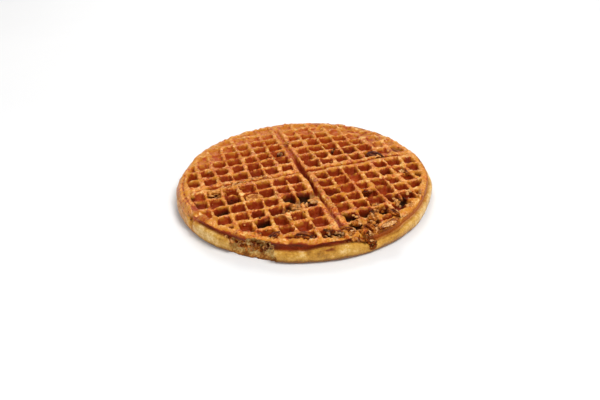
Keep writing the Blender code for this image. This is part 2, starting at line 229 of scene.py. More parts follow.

# Painted shade in the deep places of the upper face, as x, y, reach and darkness
SHADED_HOLLOWS = (
    (-0.4, -27, 8, 1),
    (-0.8, -32, 5, 0.9),
    (-0.6, 2, 9, 0.4),
    (-24, -41, 7, 0.6),
    (-45.9, -46.8, 5, 0.8),
    (-4, -76, 7, 0.2),
    (47.8, -60, 6.2, 1),
    (25.5, -63, 4, 0.9),
)

# Patches painted paler, or darker where negative, as x, y, reach and paleness
PALE = (
    (-77, -30, 15, 0.28),
    (-70, -37, 12, 0.24),
    (-50, -60, 14, 0.2),
    (0, -4, 10, -0.2),
    (2, -17, 9, -0.22),
    (3, -61, 8, -0.16),
    (4, -78, 12, -0.34),
    (9, -68, 11, -0.34),
    (20, -75, 15, -0.28),
    (74, 40, 20, -0.16),
    (80, 8, 18, -0.12),
    (68, 3, 8, -0.3),
)

# Holes where batter is missing, as x, y, reach, depth and darkness; the darkness is painted shade
HOLES = (
    (-3.6, -80.6, 4.6, 3.4, 0.7),
    (2.6, -84.2, 3.4, 2.6, 0.8),
    (47.8, -60, 4.8, 5.6, 1),
    (23, -63.6, 3.6, 3.4, 0.9),
    (30, -44.4, 3.6, 5, 1),
    (19.6, -79.4, 2.8, 2.6, 0.8),
    (7, -75.6, 3.2, 3, 0.8),
    (-16.4, -83, 2.6, 1.6, 0.5),
    (-35, -75.6, 3.4, 2.2, 0.7),
    (-50.6, -58.4, 3, 2.6, 0.6),
    (-47.6, -62.4, 3, 2.2, 0.6),
    (37, -74.6, 3, 3, 0.8),
)

# How dark each pecan's skin is, how wrinkled it is, and the half length and half width of the
# hollow along its top. Then the face where it broke: its heading, its rise and how far out it
# lies, from the middle at 0 to the end at 1
PECANS = (
    (0.62, 1.2, 0.8, 0.2, 20, 10, 0.9),
    (0.66, 1.3, 0.6, 0.2, 200, 20, 0.8),
    (0.84, 1, 0.9, 0.16, 190, 30, 0.95),
    (0.08, 1.5, 0.3, 0.3, 100, 30, 0.5),
    (0.06, 0.7, 0.6, 0.5, 250, 10, 0.95),
    (0.48, 1.2, 0.8, 0.2, 30, 40, 0.6),
    (0.46, 1, 0.5, 0.12, 250, 60, 0.75),
    (0.36, 1.1, 1, 0.16, 330, 30, 0.7),
    (0.46, 0.8, 0.9, 0.14, 350, 20, 0.8),
    (0.3, 1, 0.3, 0.3, 290, 30, 0.7),
    (0.66, 1.3, 0.3, 0.3, 90, 20, 0.8),
    (0.5, 1, 0.3, 0.3, 40, 10, 0.6),
    (0.66, 1.2, 0.5, 0.25, 60, 30, 0.6),
    (0.5, 1.2, 0.5, 0.25, 240, 30, 0.7),
)

# Chips on the crust: x, y and height, then length, width, height and heading, then how dark
# its skin is and how bare its broken sides
CHIPS = (
    (-8.4, -76, 12.6, 7, 4.6, 4, -40, 0.9, 0.4),
    (-4.2, -81, 12.8, 6.4, 4, 3.6, -20, 0.8, 0.7),
    (21.8, -69.6, 13.2, 6.6, 6, 4.4, 10, 0.3, 0.9),
    (15, 14.6, 9.6, 6, 4.6, 3, 15, 0.5, 0.4),
    (-20.4, 26, 9.4, 6.6, 4.8, 3, -10, 0.5, 0.4),
    (-8, 33.4, 12.9, 6, 3.4, 3.2, 70, 0.9, 0.5),
    (31.2, 24.4, 13.4, 6, 3.4, 3, 60, 0.9, 0.2),
    (-31.6, 4.6, 13, 7.6, 4, 3, -35, 0.6, 1),
    (-58.9, -15.6, 10.2, 7, 5, 3.6, 12, 1, 0),
    (-62, -26.2, 9.8, 6.6, 5.2, 3.4, -30, 0.8, 0),
    (-46.4, -46.4, 10.4, 7.2, 5.4, 3.8, -24, 1, 0),
    (-15.6, -42, 12.6, 9, 3.8, 3.4, -30, 0.2, 0.9),
    (-5.2, -39.4, 13, 7.6, 4.2, 3.4, -25, 0.2, 1),
    (49.6, -56.2, 12.2, 7, 4.4, 3.4, -70, 0.9, 0.3),
    (29.6, -57.6, 13.2, 6.2, 3.8, 3, -20, 0.4, 0.9),
    (62.6, -56.6, 13.2, 7.2, 4.4, 3.2, 45, 0.3, 0.9),
    (2.8, 48.2, 13.4, 7.6, 3.6, 3, -12, 0.1, 0.9),
    (-46.4, 0.6, 13.6, 12.5, 3.4, 2.8, -14, 0.2, 0.8),
    (-83.4, -25.6, 9.4, 6, 4.2, 4, -70, 0.4, 0.8),
    (-65, -56, 8.2, 6.6, 4.6, 4.4, -50, 0.2, 1),
    (-52.4, -66.6, 8.6, 6.2, 4.6, 4, -35, 0.6, 0.5),
    (-46, -71.2, 7.8, 6.4, 4.4, 4.2, -25, 0.8, 0.2),
)

# Smaller bits that lie on the crust, in the same terms
BITS = (
    (11.2, -68.4, 14.4, 3.6, 2.8, 2.4, -20, 0, 1),
    (20.7, -75, 14, 6.4, 5, 4, 70, 0.2, 0.8),
    (28.8, -66.6, 14.2, 7.4, 2.8, 2.6, -10, 0.3, 0.6),
    (23, -65.2, 13.2, 4.6, 3.6, 3, 60, 0.9, 0.2),
    (43.3, -62.3, 13.9, 7.8, 2.4, 2.8, 75, 0, 0.6),
    (41.7, -73.5, 12.8, 6.8, 3.8, 2.4, 50, 0, 0.8),
    (18.5, -83, 12.8, 4.6, 3.6, 3, 30, 0.1, 0.8),
    (22, -80, 13.2, 3.8, 3.2, 2.6, -40, 0.1, 0.9),
    (-10.4, -71, 12.4, 5.4, 3.6, 3.2, 60, 0.2, 0.9),
    (-7.2, -74.1, 12, 4.4, 3.2, 2.8, 20, 0.8, 0.4),
    (-9.4, -77.4, 11.8, 5, 3.2, 2.8, -20, 0.3, 0.8),
    (-5, -78.3, 12.4, 4.2, 2.8, 2.6, -30, 0.1, 1),
    (-2.6, -81.4, 12, 4.2, 3, 2.8, 40, 0.8, 0.5),
    (-7, -82.4, 12.6, 4.6, 2.8, 2.6, -60, 0.1, 0.9),
    (1.3, -85.1, 11, 4.4, 3, 2.8, -10, 0.9, 0.4),
    (7.4, -81.1, 13, 5.4, 4.4, 3.6, 30, 0.42, 0.4),
    (9.3, -84.6, 12.2, 7.4, 4.4, 4, -30, 0.4, 0.4),
    (8.4, -87, 10.4, 7, 3.6, 3.6, -10, 0.5, 0.3),
    (5, -85.4, 11.4, 6.4, 4, 3.8, 10, 0.45, 0.3),
    (12.6, -85, 11.8, 6.4, 4, 3.4, 60, 0.5, 0.4),
    (3, -82.4, 12.6, 5.4, 3.6, 3.2, -50, 0.4, 0.5),
    (-64, -9.4, 11, 6, 4.6, 4, -10, 0.3, 0.5),
    (-60, -8, 11.8, 5, 3.6, 3.4, 20, 0.1, 0.7),
    (-69, -7.4, 12.4, 5.4, 3.4, 3, -30, 0, 0.8),
    (-56, -3, 13.8, 6, 3, 2.6, 0, 0, 0.8),
    (50.5, -66, 13.8, 8, 3, 2.6, 40, 0, 0.8),
    (56, -52, 13.8, 7, 3, 2.6, 70, 0, 0.9),
    # These four pale bits stand in for glints on the crust: painted highlights
    (-27.9, 1.6, 14.3, 3.2, 2.2, 1.8, 0, 0, 1),
    (-25, -0.6, 14.2, 2.6, 2, 1.8, 40, 0, 1),
    (-63.6, 23.2, 14.2, 3.2, 2, 1.8, 60, 0, 1),
    (-61, 26.8, 14.2, 2.8, 2, 1.6, 10, 0, 1),
    (-31.3, -50.1, 14.1, 6.4, 3.2, 2.6, -15, 0, 1),
    (-25.7, -55.2, 14.1, 5.6, 3, 2.6, -40, 0, 0.9),
    (-27.1, -24.3, 14.1, 7, 3, 2.8, 80, 0, 0.9),
    (-6.2, -40.1, 13.4, 7, 3.8, 3.4, -10, 0, 0.9),
    (-20, -41.9, 12.2, 4.6, 3.4, 3, 30, 0.1, 0.8),
    (-17.4, -46.3, 12.8, 5, 3.4, 2.8, -20, 0.1, 0.8),
    (-12.9, -40.7, 12.6, 5.6, 3.2, 2.8, 10, 0, 1),
    (-16.9, -38.3, 11.2, 3.8, 2.8, 2.6, 50, 0.3, 0.6),
    (-23.9, -43.5, 11.2, 4.6, 3.2, 2.8, -50, 0.5, 0.6),
    (44.4, -57.8, 12.6, 6.2, 3.2, 3, -70, 0.2, 1),
)

# The spacing of a chip's fragments, and the crumbs of the torn stretch and of the upper face
CHIP_SPACING = 1.6
TEAR_CRUMBS, TEAR_CRUMB_SIZE = 16, 4.2
FINE_CRUMBS, FINE_CRUMB_SPREAD = 190, 5.0

# How deep a pecan's hollow, folds and lobes are, how much it tapers, how flat its belly is and
# how flat it broke, as shares of its half size
HOLLOW, FOLDS, LOBES, TAPER, BELLY, BREAK = 0.4, 0.11, 0.16, 0.14, 0.75, 0.94

# The photograph's size and view, from a distance in metres. The waffle's underside centre is
# at this pixel
PHOTO_WIDTH, PHOTO_HEIGHT = 600, 400
MIDDLE_X, MIDDLE_Y = 304.24, 188.28
LENS, SENSOR_WIDTH = 34.87, 36.0
AZIMUTH, ELEVATION, ROLL = -16.9, 30.1, -1.96
DISTANCE = 0.419

# Each lamp's azimuth, elevation, size in metres, power and colour
LAMPS = {
    "key": (40, 58, 0.7, 17, (1.0, 0.98, 0.94)),
    "fill": (-60, 35, 1.2, 4.5, (1.0, 0.98, 0.95)),
    "back": (165, 42, 0.7, 10, (1.0, 0.97, 0.92)),
}
AMBIENT, AMBIENT_COLOUR = 0.38, (1.0, 0.965, 0.92, 1)

# How far off the lamps stand, and how far the floor reaches, in metres
LAMP_DISTANCE, FLOOR_REACH = 1.6, 3.0

# Buttery surfaces tint what they reflect
WARM_GLINT = (1.0, 0.66, 0.34, 1)

# Skew axes for the noise, so that no row of its bumps lines up with the grid
SKEW = np.array(Matrix.Rotation(0.7, 3, Vector((1, 2, 3)).normalized()))
TABLE = 32


def bumps(points, size, seed):
    """Smooth noise from -1 to 1 at each point, with bumps of about the given size."""
    table = np.random.default_rng(seed).uniform(-1, 1, (TABLE, TABLE, TABLE))
    at = points @ SKEW / size
    corner = np.floor(at).astype(int)
    share = at - corner
    share = share * share * (3 - 2 * share)
    total = np.zeros(points.shape[:-1])
    for step in np.ndindex(2, 2, 2):
        weight = np.prod(np.where(step, share, 1 - share), axis=-1)
        total += weight * table[tuple(np.moveaxis((corner + step) % TABLE, -1, 0))]
    return total


def rough(points, size, seed, layers=3):
    """Noise whose broad bumps carry finer ones."""
    return sum(bumps(points, size / 2**n, seed + n) / 1.8**n for n in range(layers))


def ease(share):
    share = np.clip(share, 0, 1)
    return share * share * (3 - 2 * share)


def rise(value, start, end):
    """0 before the start, easing to 1 at the end. The end may be below the start."""
    return ease((value - start) / (end - start))


def near(distance, reach):
    """1 at no distance, easing to 0 at the reach."""
    return 1 - ease(np.abs(distance) / reach)


def bump(angle, centre, half_width, fade):
    """1 within half_width of the centre direction, easing to 0 over the fade."""
    off = np.abs((angle - centre + 180) % 360 - 180)
    return ease((half_width + fade - off) / fade)


def along_rim(angle, places):
    """The sum of the amounts that the places of the rim give to one direction."""
    return sum(amount * bump(angle, *place) for amount, *place in places)


def lines_across(cell_lines, divider_lines):
    """Places of the mesh lines along one axis, from one edge of the grid to the other."""
    half = list(divider_lines)
    for number in range(1, CELLS_A_SIDE + 1):
        middle = (number - 0.5 + DIVIDER_SHARE) * PITCH
        stretch = PITCH / 2 / cell_lines[-1]
        half += [middle - off * stretch for off in reversed(cell_lines[:-1])]
        half += [middle + off * stretch for off in cell_lines[1:]]
    return np.array([-place for place in reversed(half[1:])] + half)


def flat_points(x, y):
    return np.stack([x, y, 0 * y], axis=1)


def flat_length(flat):
    """How far each point is from the middle, seen from above."""
    return np.hypot(flat[:, 0], flat[:, 1])


def cell_of(at):
    """The cell that each place along one axis is in, and how far it is off the cell's middle."""
    side = np.where(at < 0, -1, 1)
    number = np.floor(np.abs(at) / PITCH - DIVIDER_SHARE).astype(int) + 1
    number = np.clip(number, 0, CELLS_A_SIDE)
    off = np.abs(at) - (number - 0.5 + DIVIDER_SHARE) * PITCH
    return number * side, np.where(number > 0, off, PITCH) * side


def pockets(flat, seed, most, spread, quirks=()):
    """Depth of the pockets below the face, how much each point is a crossing, and how dark."""
    column, off_x = cell_of(flat[:, 0])
    row, off_y = cell_of(flat[:, 1])
    here = (column + CELLS_A_SIDE, row + CELLS_A_SIDE)
    size = 2 * CELLS_A_SIDE + 1
    draw = np.random.default_rng(seed).uniform(-1, 1, (6, size, size))
    east, north, wide, deep, lean_x, lean_y = (drawn[here] * spread for drawn in draw)
    half = POCKET_MOUTH / 2 + WIDTH_PLAY * wide - POCKET_CORNER
    over_x = np.abs(off_x - PLACE_PLAY * east) - half
    over_y = np.abs(off_y - PLACE_PLAY * north) - half
    outside = np.hypot(np.maximum(over_x, 0), np.maximum(over_y, 0))
    inside = np.minimum(np.maximum(over_x, over_y), 0)
    beyond = np.maximum(outside + inside - POCKET_CORNER, flat_length(flat) - GRID_RADIUS)
    ragged = WALL_PLAY * rough(flat, 3.2, seed + 1) + WALL_SWAY * bumps(flat, 7, seed + 2)
    share = ease((CREST_LEAD - beyond - ragged * spread) / WALL_RUN)
    extra, dark = np.zeros((2, size, size))
    for quirk_column, quirk_row, deeper, shade in quirks:
        cell = (quirk_column + CELLS_A_SIDE, quirk_row + CELLS_A_SIDE)
        extra[cell] = deeper
        dark[cell] = shade
    tilt = (lean_x * off_x + lean_y * off_y) * TILT_PLAY
    depth = (most * (1 + DEPTH_PLAY * deep) + tilt + extra[here]) * share
    ridge_x = near(PITCH / 2 - np.abs(off_x), CROSSING_REACH)
    ridge_y = near(PITCH / 2 - np.abs(off_y), CROSSING_REACH)
    return depth, ridge_x * ridge_y, dark[here] * share


def groove(across, along, width, depth, seed):
    """Depth of one divider groove, which wanders and fades at its ends."""
    flat = flat_points(0 * along, along)
    wander = GROOVE_WANDER * rough(flat, 9, seed, 2)
    mouth = width * GROOVE_MOUTH * (1 + GROOVE_PLAY * bumps(flat, 5, seed + 5))
    deep = depth * (1 + GROOVE_PLAY * bumps(flat, 7, seed + 7))
    deep = deep * ease((GROOVE_REACH - np.abs(along)) / GROOVE_FADE)
    beyond = np.abs(across - wander) - mouth
    return deep * ease((CREST_LEAD - beyond) / (0.5 * width + 0.4))


def to_route(flat, route):
    """Distance of each point from a broken line."""
    nearest = np.full(len(flat), np.inf)
    for start, end in zip(route, route[1:]):
        start, end = np.array(start), np.array(end)
        along = end - start
        share = np.clip((flat[:, :2] - start) @ along / (along @ along), 0, 1)
        nearest = np.minimum(nearest, flat_length(flat[:, :2] - start - share[:, None] * along))
    return nearest


def darker(dark, more):
    """The darkness once a further mark lies on it. Paler places stay pale around the mark."""
    return dark + np.maximum(more - np.maximum(dark, 0), 0)


def spot(flat, at, reach, rags, *noise_of):
    """1 at a place of the face, easing to 0 at the reach, where its rags are rough noise."""
    away = flat_length(flat[:, :2] - at) + rags * rough(flat, *noise_of)
    return near(np.maximum(away, 0), reach)


def filled(flat):
    """The share of the upper pockets' depth that batter filled."""
    out = flat_length(flat)
    towards = (flat[:, :2] @ FAR_SIDE) / np.maximum(out, 1)
    return FULL_SHARE * rise(towards, *FULL_TOWARDS) * rise(out, *FULL_FROM_TO)


def wide_groove(flat):
    """Depth of the upper face's wide groove."""
    x, y = flat[:, 0], flat[:, 1]
    swell = near(y - GROOVE_SWELLS, GROOVE_SWELL_REACH)
    share = 0.5 + 0.5 * rise(y, *GROOVE_OPENS) + 0.35 * swell + 0.1 * rise(y, *GROOVE_GAPES)
    far_end, near_end = (rise(y, *ends) for ends in GROOVE_DEEPENS)
    deep = groove(x, y, WIDE_GROOVE * share, WIDE_GROOVE_DEPTH, SEED + 11)
    return deep * (0.4 + 0.6 * far_end * near_end)


def top_face(flat):
    """Height of the upper face at each point, with how deep, how torn and how dark it is."""
    depth, crossing, dark = pockets(flat, SEED, TOP_DEPTH, 1.0, DARK_CELLS)
    depth = depth * (1 - filled(flat))
    # Painted shade, only where the face lies deep
    for *at, reach, strength in SHADED_HOLLOWS:
        mark = strength * spot(flat, at, reach, 1.2, 4.0, SEED + 5, 2)
        dark = darker(dark, mark * ease(depth / 2.0 - 0.2))
    x, y = flat[:, 0], flat[:, 1]
    narrow = groove(y, x, NARROW_GROOVE, NARROW_GROOVE_DEPTH, SEED + 13)
    depth = np.maximum(depth, np.maximum(wide_groove(flat), narrow))

    ragged = to_route(flat, TOP_TEAR) + TOP_TEAR_RAGS * rough(flat, 3.0, SEED + 17)
    torn = ease((TOP_TEAR_WIDTH / 2 + TOP_TEAR_RAGS - ragged) / 1.7)
    inside = TOP_TEAR_DEPTH + 0.8 * rough(flat, 2.2, SEED + 19)
    depth = np.maximum(depth, torn * inside)

    # The holes' darkness is painted shade
    for *at, reach, deep, strength in HOLES:
        hole = spot(flat, at, reach, 1.0, 3.0, SEED + 109, 2)
        depth = np.maximum(depth, deep * hole)
        dark = darker(dark, strength * hole)

    out = flat_length(flat)
    brown = BORDER_BROWN + BORDER_PLAY * rough(flat, 5.0, SEED + 103)
    dark = darker(dark, rise(out, *BORDER_FROM_TO) * rise(y, *BORDER_NEAR) * brown)
    for *at, reach, paleness in PALE:
        dark = dark - paleness * spot(flat, at, reach, 2.0, 5.0, SEED + 113)

    sunk = np.clip(depth / TOP_DEPTH, 0, 1)
    swell = SWELLS * rough(flat, 17, SEED + 23, 2) + BUMPS * bumps(flat, 6.5, SEED + 29)
    grain = (GRAIN + BORDER_GRAIN * rise(out, 76, 79)) * rough(flat, 2.8, SEED + 31)
    dips = DIPS * np.maximum(bumps(flat, 5.0, SEED + 97) - 0.1, 0)
    pits = PITS * np.maximum(bumps(flat, 2.6, SEED + 101) - 0.3, 0)
    rib_ends = [rise(y, *ends) for ends in RIB_ENDS]
    rib = RIB * near(x - RIB_X, RIB_REACH) * np.prod(rib_ends, axis=0)
    height = THICKNESS - depth + swell + grain
    height += (CROSSINGS * crossing - dips - pits + rib) * (1 - sunk)
    height += FLOOR_GRAIN * sunk * rough(flat, 4.4, SEED + 37, 2)
    return height, sunk, torn, dark


def under_face(flat):
    """Height of the lower face at each point: its ridges lie on the floor."""
    depth, _, dark = pockets(flat, SEED + 41, UNDER_DEPTH, UNDER_PLAY)
    x, y = flat[:, 0], flat[:, 1]
    wide = groove(x, y, WIDE_GROOVE, UNDER_GROOVE_SHARE * WIDE_GROOVE_DEPTH, SEED + 43)
    narrow = groove(y, x, NARROW_GROOVE, UNDER_GROOVE_SHARE * NARROW_GROOVE_DEPTH, SEED + 47)
    depth = np.maximum(depth, np.maximum(wide, narrow))
    sunk = depth / UNDER_DEPTH
    lift = np.abs(0.22 * rough(flat, 9, SEED + 53)) + 0.3 * sunk * rough(flat, 4.0, SEED + 59, 2)
    return depth + lift, np.clip(sunk, 0, 1), 0 * dark, dark


def swayed(flat):
    """The points moved as baking pulled the grid, with the rim left round."""
    fade = ease((FACE_RADIUS - flat_length(flat)) / SWAY_FADE)
    pull = [noise.noise_vector(Vector(point) / SWAY_LENGTH)[:] for point in flat]
    pull = np.array(pull) * (SWAY * fade)[:, None]
    pull[:, 2] = 0
    return flat + pull


class Shell:
    """The crust's growing mesh: places, marks for the material, and faces."""

    def __init__(self):
        self.places, self.marks, self.faces = [], [], []

    def add(self, places, *marks):
        """Adds vertices and gives the number of the first."""
        first = sum(len(added) for added in self.places)
        self.places.append(places)
        self.marks.append(np.stack(marks))
        return first

    def face_grid(self, lines, surface, upward):
        """The middle of one face: every square of the mesh lines that lies well inside it."""
        x, y = np.meshgrid(lines, lines, indexing="ij")
        inside = np.hypot(x, y) < SQUARES_RADIUS
        squares = inside[:-1, :-1] & inside[1:, :-1] & inside[1:, 1:] & inside[:-1, 1:]
        used = np.zeros_like(inside)
        span = len(squares)
        for east, north in ((0, 0), (1, 0), (1, 1), (0, 1)):
            used[east : east + span, north : north + span] |= squares
        flat = flat_points(x[used], y[used])
        height, sunk, torn, dark = surface(flat)
        places = swayed(flat)
        places[:, 2] = height
        first = self.add(places, sunk, torn, dark, 0 * sunk)
        numbers = np.full(inside.shape, -1)
        numbers[used] = np.arange(used.sum())
        a, b = numbers[:-1, :-1][squares], numbers[1:, :-1][squares]
        c, d = numbers[1:, 1:][squares], numbers[:-1, 1:][squares]
        quads = np.stack([a, b, c, d] if upward else [a, d, c, b], axis=1)
        self.faces += (quads + first).tolist()
        return flat, first, quads, squares

    def stitch(self, lines, grid, ring, ring_first, upward):
        """Triangles between the stepped edge of one face's squares and the round ring about it."""
        flat, first, quads, squares = grid
        sides = np.concatenate([quads[:, [n, (n + 1) % 4]] for n in range(4)])
        keys, uses = np.unique(np.sort(sides, axis=1), axis=0, return_counts=True)
        steps = keys[uses == 1]
        edge = np.unique(steps)
        place_of = {number: index for index, number in enumerate(edge.tolist())}
        around = list(range(len(edge), len(edge) + len(ring)))
        points = [Vector(flat[number, :2]) for number in edge] + [Vector(at[:2]) for at in ring]
        edges = [(place_of[a], place_of[b]) for a, b in steps.tolist()]
        edges += zip(around, around[1:] + around[:1])
        _, _, triangles, sources, _, _ = delaunay_2d_cdt(points, edges, [], 0, 1e-7)
        real = [first + number for number in edge.tolist()]
        real += range(ring_first, ring_first + len(ring))
        for triangle in triangles:
            corners = [sources[corner][0] for corner in triangle]
            middle = sum((points[corner] for corner in corners), Vector((0, 0))) / 3
            column, row = np.searchsorted(lines, middle) - 1
            if not squares[column, row]:
                numbers = [real[corner] for corner in corners]
                self.faces.append(numbers if upward else numbers[::-1])

    def rows(self, places, *marks):
        """Closed rows of quads all round, the first outermost on the upper face."""
        first = self.add(places.reshape(-1, 3), *(mark.ravel() for mark in marks))
        numbers = first + np.arange(marks[0].size).reshape(marks[0].shape)
        beside = np.roll(numbers, -1, axis=1)
        quads = np.stack([numbers[:-1], numbers[1:], beside[1:], beside[:-1]], axis=-1)
        self.faces += quads.reshape(-1, 4).tolist()
        return numbers

    def build(self, name):
        marks = np.concatenate(self.marks, axis=1)
        named = dict(zip(("sunk", "torn", "dark", "lip"), marks))
        return piece_of(name, np.concatenate(self.places), self.faces, named)


def linked(name, data):
    """A new object of the scene."""
    obj = bpy.data.objects.new(name, data)
    bpy.context.scene.collection.objects.link(obj)
    return obj


def piece_of(name, places, faces, marks):
    """A smooth mesh object that rides with the waffle, its marks kept on its vertices."""
    mesh = bpy.data.meshes.new(name)
    mesh.from_pydata((places * MM).tolist(), [], faces)
    for mark, values in marks.items():
        kept = mesh.attributes.new(mark, "FLOAT", "POINT")
        kept.data.foreach_set("value", np.asarray(values, dtype=np.float32))
    mesh.shade_smooth()
    obj = linked(name, mesh)
    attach(obj, "root")
    return obj


def rounded(angles, radius, height):
    """The places of points given by their direction, radius and height."""
    turn = np.radians(angles)
    return np.stack([radius * np.cos(turn), radius * np.sin(turn), height], axis=-1)


def rim_profile(angles, top, under):
    """Control points round the rim, with how deep and how much lip each is.

    Each row gives a radius and a height where the lip stands off the wall, the same two where
    the edge runs smoothly down into the lip, and the two marks.
    """
    lip = LIP_HEIGHT + along_rim(angles, LIP_RISES)
    sink = along_rim(angles, SLUMPS)
    flat = np.zeros(len(angles))
    wall = np.maximum(11.0 - sink, lip + 1.6)
    rows = (
        (FACE_RADIUS, top, FACE_RADIUS, top, 0.02, 0),
        (84.4, top + 0.1 - 0.3 * sink, 84.4, top - 0.1, 0.0, 0),
        (85.9, top - 0.6 - 0.8 * sink, 85.9, top - 0.7, 0.15, 0),
        (86.6, np.maximum(12.3 - sink, wall + 0.9), 87.0, flat + 12.3, 0.62, 0),
        (86.5, wall, 87.9, flat + 11.2, 0.8, 0),
        # The crease where the lip stands off the wall is darkest: painted shade
        (86.3, lip + 0.8, 88.6, lip + 0.5, 0.95, 0),
        (87.0, lip - 0.3, 89.1, lip - 0.4, 0.45, 0.6),
        (88.0, lip + 0.15, 89.5, lip - 1.2, 0.1, 0.9),
        (89.2, lip - 0.35, 89.8, lip - 2.0, 0.0, 1),
        (90.0, lip - 2.0, 90.0, lip - 3.4, 0.0, 1),
        (90.0, flat + 4.2, 90.0, flat + 4.2, 0.0, 1),
        (89.9, flat + 2.4, 89.9, flat + 2.4, 0.0, 1),
        (89.0, flat + 0.8, 89.0, flat + 0.8, 0.1, 0.9),
        (87.2, flat + 0.08, 87.2, flat + 0.08, 0.2, 0.6),
        (85.0, flat + 0.05, 85.0, flat + 0.05, 0.25, 0.3),
        (FACE_RADIUS, under, FACE_RADIUS, under, 0.2, 0),
    )
    smooth = bump(angles, *SMOOTH_EDGE)
    return np.array([
        (
            radius + (smooth_radius - radius) * smooth,
            height + (smooth_height - height) * smooth,
            sunk * (1 - 0.9 * smooth),
            lip_share * (1 - 0.5 * smooth),
        )
        for radius, height, smooth_radius, smooth_height, sunk, lip_share in rows
    ])


def through(controls, steps):
    """A smooth run of rows through the control rows."""
    padded = np.concatenate([controls[:1], controls, controls[-1:]])
    made = []
    for number in range(len(controls) - 1):
        before, start, end, after = padded[number : number + 4]
        for step in range(steps):
            t = step / steps
            made.append(
                start
                + 0.5 * t * (end - before)
                + t * t * (before - 2.5 * start + 2 * end - 0.5 * after)
                + t * t * t * 0.5 * (3 * start - 3 * end + after - before)
            )
    return np.array([*made, controls[-1]])


def within(angle, start, end):
    """1 between two directions, easing to 0 about each of them."""
    half = (end - start) / 2
    return ease((half - np.abs(angle - (start + half))) / TEAR_FADE + 0.5)


def torn_rim(angles, radius, height, places):
    """The radius of each point once the lip is torn away, and how torn it is."""
    ragged = angles + 1.1 * rough(places, 4.0, SEED + 61)
    lip_gone = within(ragged, TEAR_FROM, TEAR_TO) * rise(height, 10.4, 9.2)
    wall_gone = within(ragged, TORN_WALL_FROM, TORN_WALL_TO)
    wall_gone = wall_gone * rise(height, 2.4, 3.8) * rise(height, 13.0, 11.8)
    crags = rough(places, 3.2, SEED + 67, 4)
    ledge = 2.6 * rise(height, 3.2, 0.2)
    cut = np.maximum(radius - TEAR_RADIUS - ledge - crags, 0) * lip_gone
    cut = np.maximum(cut, np.maximum(radius - TORN_WALL_RADIUS - crags, 0) * wall_gone)
    return radius - cut, ease(cut / 0.8)


def rim(angles, radius, height, sunk, lip):
    """The rim's rows as they baked: places, and how deep, torn, dark and much lip each is."""
    free = ease((radius - FACE_RADIUS) / 2.5)
    share = np.clip((radius - DISC_RADIUS) / LIP_DEPTH, -0.6, 1) * 0.6 + 0.4
    radius = radius - along_rim(angles, LIP_PULLS) * share

    places = rounded(angles, radius, height)
    wave = 0.32 * rough(places, 11, SEED + 71, 2) + 0.16 * rough(places, 3.4, SEED + 73)
    streaks = bumps(places * (0.25, 0.25, 1.6), 2.2, SEED + 79) * bump(angles, *STREAKED_EDGE)
    sunk = np.maximum(sunk, 0.3 * ease(streaks * 3 - 0.6) * rise(height, 5, 8))
    radius = np.minimum(radius + (wave + 0.4 * streaks) * free, LIP_RADIUS + 0.3)
    height = height + 0.3 * rough(places, 8, SEED + 83, 2) * free * rise(height, 2, 5)

    places = rounded(angles, radius, height)
    cut, torn = torn_rim(angles, radius, height, places)
    off = np.linalg.norm(places - rounded(NOTCH_ANGLE, LIP_RADIUS, LIP_HEIGHT), axis=-1)
    cut = cut - NOTCH_DEPTH * near(off, NOTCH_REACH) * free
    radius = radius + (cut - radius) * free

    # The line round the smooth edge, and the slit in the lip
    line = near(radius - LINE_RADIUS, 1.1) * bump(angles, *LINED_EDGE) * rise(height, 9, 11)
    height = np.maximum(height - 0.8 * line, 0.02)
    off = np.radians(angles - SLIT_ANGLE) * LIP_RADIUS
    slit = near(height - SLIT_HEIGHT - SLIT_SLOPE * off, SLIT_WIDTH) * near(off, SLIT_LENGTH / 2)
    slit = slit * ease((radius - DISC_RADIUS) / 0.5)
    radius = radius - SLIT_DEPTH * slit
    height = height - 0.9 * slit
    sunk = np.maximum(np.maximum(sunk, 0.3 * line), 0.9 * slit)

    # Painted shade darkens the foot, and the wall above the lip is darker unevenly
    wall = rise(sunk, 0.4, 0.7)
    uneven = 1 + 0.7 * rough(places * (1, 1, 2.5), 7, SEED + 107)
    dark = 0.75 * rise(height, 4.6, 0) - 0.14 * bump(angles, *PALE_LEFT)
    # Where the wall faces the key lamp it is painted paler: painted light
    dark = dark + 0.3 * uneven * wall * (1 - 0.8 * bump(angles, *PALE_WALL))
    dark = dark - 0.34 * wall * bump(angles, *PALE_FRONT)
    return rounded(angles, radius, height), sunk, torn * free, dark, lip * (1 - 0.9 * slit)


def crust():
    """The whole baked body in one closed mesh."""
    shell = Shell()
    top_lines = lines_across(CELL_LINES, DIVIDER_LINES)
    under_lines = lines_across(UNDER_CELL_LINES, UNDER_DIVIDER_LINES)
    upper = shell.face_grid(top_lines, top_face, True)
    lower = shell.face_grid(under_lines, under_face, False)
    angles = np.concatenate([np.arange(*stretch) for stretch in RIM_STRETCHES])
    ring = rounded(angles, FACE_RADIUS, 0 * angles)
    controls = rim_profile(angles, top_face(ring)[0], under_face(ring)[0])
    numbers = shell.rows(*rim(angles, *through(controls, RIM_STEPS).transpose(1, 0, 2)))
    shell.stitch(top_lines, upper, ring, numbers[0, 0], True)
    shell.stitch(under_lines, lower, ring, numbers[-1, 0], False)
    return shell.build("crust")


def srgb(red, green, blue):
    """A colour given from 0 to 255, as the shader wants it."""
    shares = (value / 255 for value in (red, green, blue))
    return (*(s / 12.92 if s <= 0.04045 else ((s + 0.055) / 1.055) ** 2.4 for s in shares), 1)


